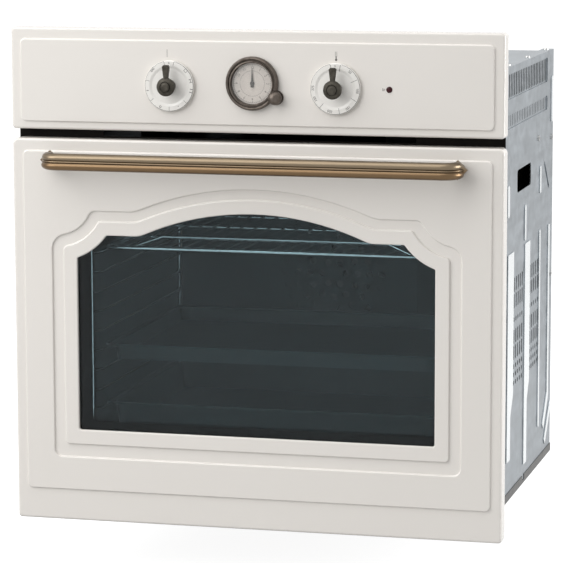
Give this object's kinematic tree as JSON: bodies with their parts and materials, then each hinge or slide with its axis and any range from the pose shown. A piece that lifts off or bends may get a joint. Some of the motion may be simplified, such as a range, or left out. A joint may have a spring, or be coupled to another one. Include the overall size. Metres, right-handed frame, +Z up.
{
  "type": "built-in oven",
  "caption": "Built-in single oven in classic style: cream enamelled control panel and drop-down door, arched window, bronze bar handle, dials with levers, round clock.",
  "frame": {"origin": "middle of the front edge of the body, on the underside of the base; the front flange's rear face, which meets the cabinet, lies in the plane Y = 0", "axes": "+Z up, -Y out of the front towards the user, +X to the user's right"},
  "size_m": [0.595, 0.546, 0.595],
  "materials": {
    "cream_enamel": "smooth glossy baked enamel",
    "black_enamel": "black baked enamel",
    "cavity_enamel": "dark grey vitreous enamel with fine specks",
    "galvanised": "galvanised sheet with a faint spangle",
    "bronze": "antique bronze, satin",
    "dark_bronze": "dark aged bronze, satin",
    "steel": "plain zinc-plated steel",
    "chrome_wire": "bright chromed wire",
    "heater_tube": "heat-dulled steel tube",
    "tinted_glass": "dark tinted float glass",
    "clear_glass": "clear float glass with a black printed border",
    "lamp_glass": "clear heat-proof glass",
    "dial_cream": "satin cream lacquer with fine print",
    "clock_face": "warm beige-grey printed face",
    "hand_black": "dark matt lacquer",
    "seal_rubber": "dark silicone",
    "wool": "mineral wool",
    "dark_plastic": "moulded heat-proof plastic",
    "white_plastic": "moulded plastic",
    "pilot_red": "dark red lens"
  },
  "bodies": {
    "root": {"front_frame": "black_enamel", "cavity": "cavity_enamel", "door_seal": "seal_rubber", "insulation": "wool", "base_panel": "galvanised", "side_panel_left": "galvanised", "side_panel_right": "galvanised", "back_panel": "galvanised", "top_panel": "galvanised", "chassis_screws": "steel", "control_panel": "cream_enamel", "panel_bracket": "galvanised", "function_switch": "white_plastic", "thermostat": "white_plastic", "clock_module": "dark_plastic", "clock_bezel": "dark_bronze", "clock_dial": "clock_face", "clock_glass": "clear_glass", "pilot_lamp": "pilot_red", "cooling_fan_housing": "dark_plastic", "cooling_fan_motor": "steel", "air_duct": "galvanised", "convection_motor": "steel", "fan_cover": "cavity_enamel", "ring_heater": "heater_tube", "grill_heater": "heater_tube", "bottom_heater": "heater_tube", "side_rails": "chrome_wire", "lamp_housing": "steel", "lamp_bulb": "lamp_glass", "lamp_lens": "lamp_glass", "temperature_sensor": "steel", "terminal_block": "dark_plastic", "hinge_arms": "steel", "hinge_brackets": "galvanised"},
    "door": {"door_panel": "cream_enamel", "window_glass": "tinted_glass", "inner_glass": "clear_glass", "door_inner_frame": "galvanised", "handle_bar": "bronze", "handle_feet": "bronze", "handle_screws": "steel", "hinge_cases": "galvanised", "hinge_pins": "steel", "hinge_springs": "steel"},
    "function_control": {"function_dial": "dial_cream", "function_lever": "dark_bronze", "function_shaft": "steel"},
    "temperature_control": {"temperature_dial": "dial_cream", "temperature_lever": "dark_bronze", "temperature_shaft": "steel"},
    "minute_hand_body": {"minute_hand": "hand_black"},
    "hour_hand_body": {"hour_hand": "hand_black"},
    "clock_stem_body": {"clock_stem": "steel"},
    "clock_knob_body": {"clock_knob": "dark_bronze"},
    "convection_fan_body": {"convection_fan": "steel"},
    "cooling_rotor_body": {"cooling_fan_rotor": "dark_plastic"},
    "wire_shelf_body": {"wire_shelf": "chrome_wire"},
    "shallow_tray_body": {"shallow_tray": "cavity_enamel"},
    "deep_tray_body": {"deep_tray": "cavity_enamel"}
  },
  "joints": [
    {"name": "door_hinge", "type": "hinge", "parent": "root", "child": "door", "pos_m": [0, -0.012, 0], "axis": [1, 0, 0], "range_deg": [0, 90]},
    {"name": "function_turn", "type": "hinge", "parent": "root", "child": "function_control", "pos_m": [-0.1, -0.03, 0.5195], "axis": [0, 1, 0], "continuous": true},
    {"name": "temperature_turn", "type": "hinge", "parent": "root", "child": "temperature_control", "pos_m": [0.1, -0.03, 0.5195], "axis": [0, 1, 0], "range_deg": [0, 290]},
    {"name": "minute_turn", "type": "hinge", "parent": "root", "child": "minute_hand_body", "pos_m": [0, -0.026, 0.524], "axis": [0, 1, 0], "continuous": true},
    {"name": "hour_turn", "type": "hinge", "parent": "root", "child": "hour_hand_body", "pos_m": [0, -0.0255, 0.524], "axis": [0, 1, 0], "continuous": true},
    {"name": "clock_stem_push", "type": "slide", "parent": "root", "child": "clock_stem_body", "axis": [0, 1, 0], "range_m": [0, 0.0015], "stiffness_N_per_m": 300},
    {"name": "clock_knob_turn", "type": "hinge", "parent": "clock_stem_body", "child": "clock_knob_body", "pos_m": [0.0286, -0.03, 0.508], "axis": [0, 1, 0], "continuous": true},
    {"name": "convection_fan_spin", "type": "hinge", "parent": "root", "child": "convection_fan_body", "pos_m": [0, 0.404, 0.243], "axis": [0, 1, 0], "continuous": true},
    {"name": "cooling_fan_spin", "type": "hinge", "parent": "root", "child": "cooling_rotor_body", "pos_m": [0, 0.33, 0.49], "axis": [1, 0, 0], "continuous": true},
    {"name": "wire_shelf_slide", "type": "slide", "parent": "root", "child": "wire_shelf_body", "axis": [0, -1, 0], "range_m": [0, 0.04]},
    {"name": "shallow_tray_slide", "type": "slide", "parent": "root", "child": "shallow_tray_body", "axis": [0, -1, 0], "range_m": [0, 0.04]},
    {"name": "deep_tray_slide", "type": "slide", "parent": "root", "child": "deep_tray_body", "axis": [0, -1, 0], "range_m": [0, 0.04]}
  ],
  "couplings": [
    {"joint": "hour_turn", "follows": "minute_turn", "ratio": 0.083333}
  ]
}
